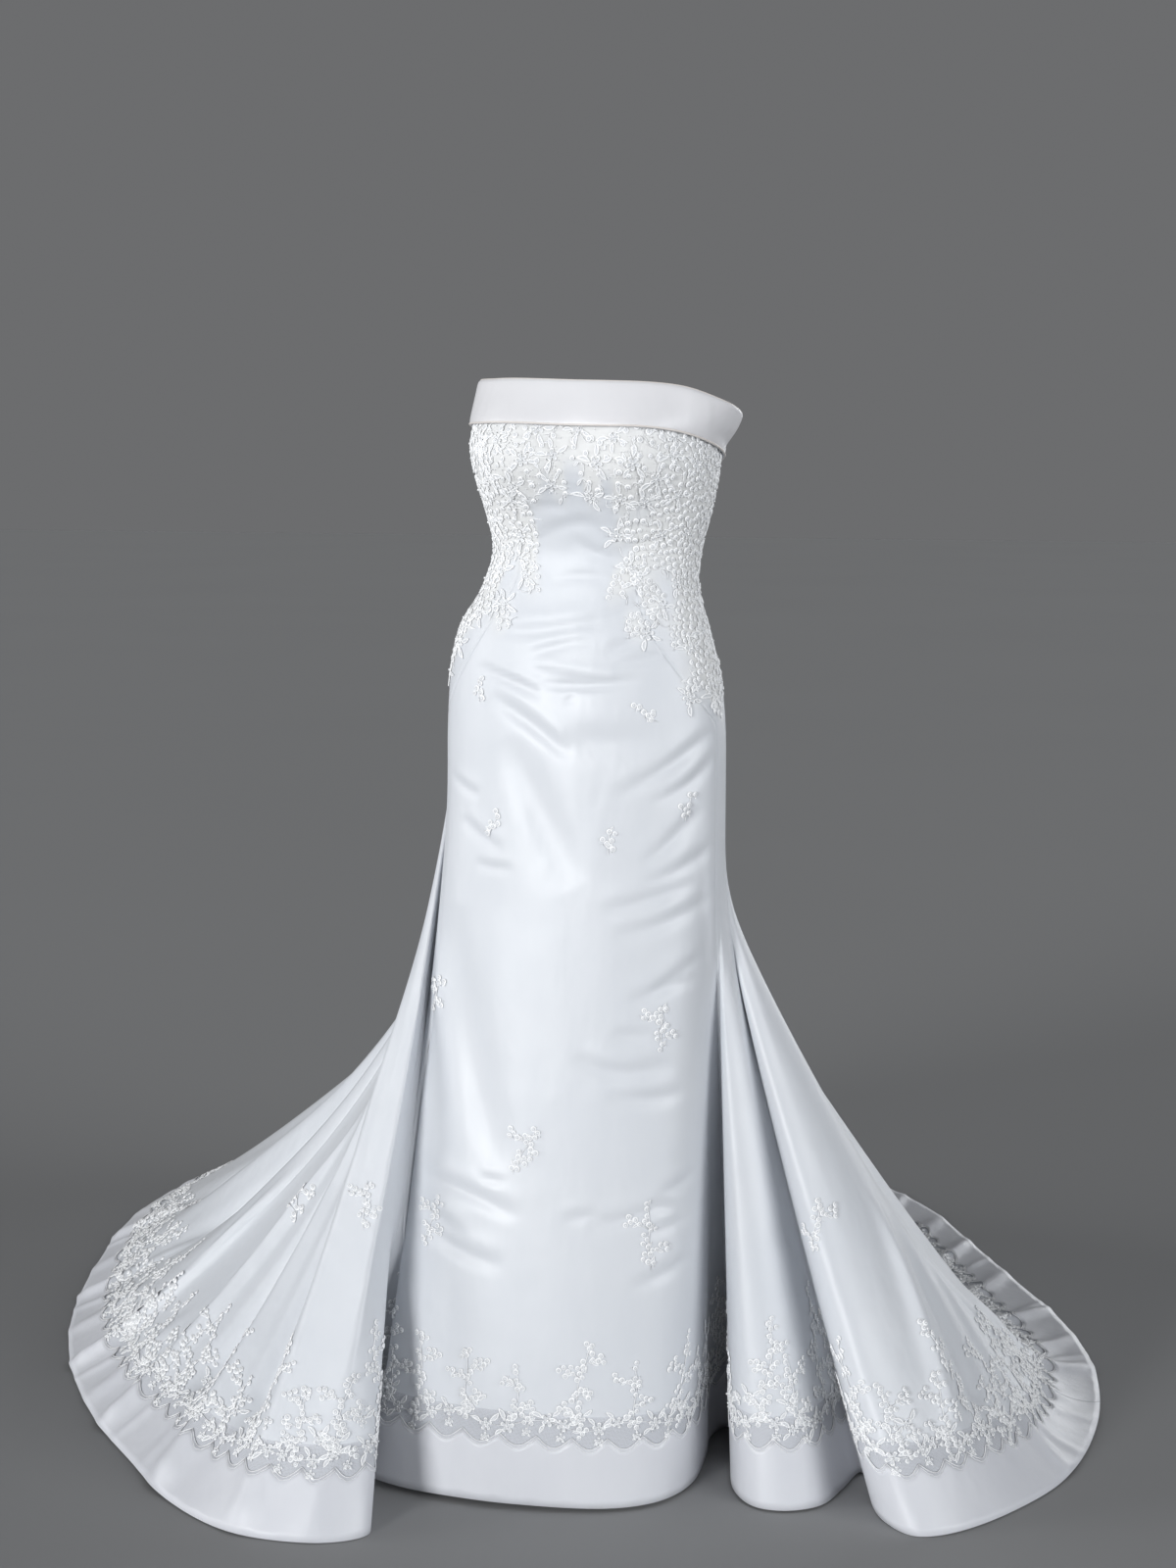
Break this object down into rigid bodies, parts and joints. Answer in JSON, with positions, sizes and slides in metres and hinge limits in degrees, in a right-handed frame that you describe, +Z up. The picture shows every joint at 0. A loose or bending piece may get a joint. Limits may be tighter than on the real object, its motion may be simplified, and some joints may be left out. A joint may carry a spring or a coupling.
{
  "type": "strapless wedding dress with a train",
  "caption": "Strapless satin wedding dress as worn and hollow, with a folded cuff neckline, lace on the bodice and above the hem, see-through strip, satin hem band, long train and back zip.",
  "frame": {"origin": "inside the middle of the waist, where the wearer holds the dress up", "axes": "+Z up, +X towards the wearer's left, +Y towards the wearer's back and the train"},
  "size_m": [1.6089, 1.6733, 1.3531],
  "materials": {
    "satin": "cool white bridal satin with a soft sheen",
    "band_satin": "cool white bridal satin band",
    "cuff_satin": "ivory white satin, folded",
    "tulle": "fine see-through tulle",
    "lace": "corded and beaded white lace",
    "zip_tape": "woven white zip tape with a fine coil",
    "zip_metal": "white painted metal"
  },
  "bodies": {
    "root": {"cuff_back_left": "cuff_satin", "cuff_back_right": "cuff_satin", "cuff_front": "cuff_satin", "hem_band_back_left": "band_satin", "hem_band_back_right": "band_satin", "hem_band_front_centre": "band_satin", "hem_band_side_left": "band_satin", "hem_band_side_right": "band_satin", "lace_bodice_front": "lace", "lace_bodice_side_left": "lace", "lace_bodice_side_right": "lace", "lace_border_back_left": "lace", "lace_border_back_right": "lace", "lace_border_front_centre": "lace", "lace_border_side_left": "lace", "lace_border_side_right": "lace", "lace_sprig_01": "lace", "lace_sprig_02": "lace", "lace_sprig_03": "lace", "lace_sprig_04": "lace", "lace_sprig_05": "lace", "lace_sprig_06": "lace", "lace_sprig_07": "lace", "lace_sprig_08": "lace", "lace_sprig_09": "lace", "lace_sprig_10": "lace", "lace_sprig_11": "lace", "lace_sprig_12": "lace", "lace_sprig_13": "lace", "lace_sprig_14": "lace", "lace_sprig_15": "lace", "lace_sprig_16": "lace", "lace_sprig_17": "lace", "panel_back_left": "satin", "panel_back_right": "satin", "panel_front_centre": "satin", "panel_side_left": "satin", "panel_side_right": "satin", "sheer_strip_back_left": "tulle", "sheer_strip_back_right": "tulle", "sheer_strip_front_centre": "tulle", "sheer_strip_side_left": "tulle", "sheer_strip_side_right": "tulle", "zip_slider": "zip_metal", "zip_strip": "zip_tape"},
    "zip_pull": {"zip_pull": "zip_metal"}
  },
  "joints": [
    {"name": "zip_pull_swing", "type": "hinge", "parent": "root", "child": "zip_pull", "pos_m": [0.01335, 0.09971, 0.06364], "axis": [1, 0, 0], "range_deg": [-8, 150]}
  ]
}
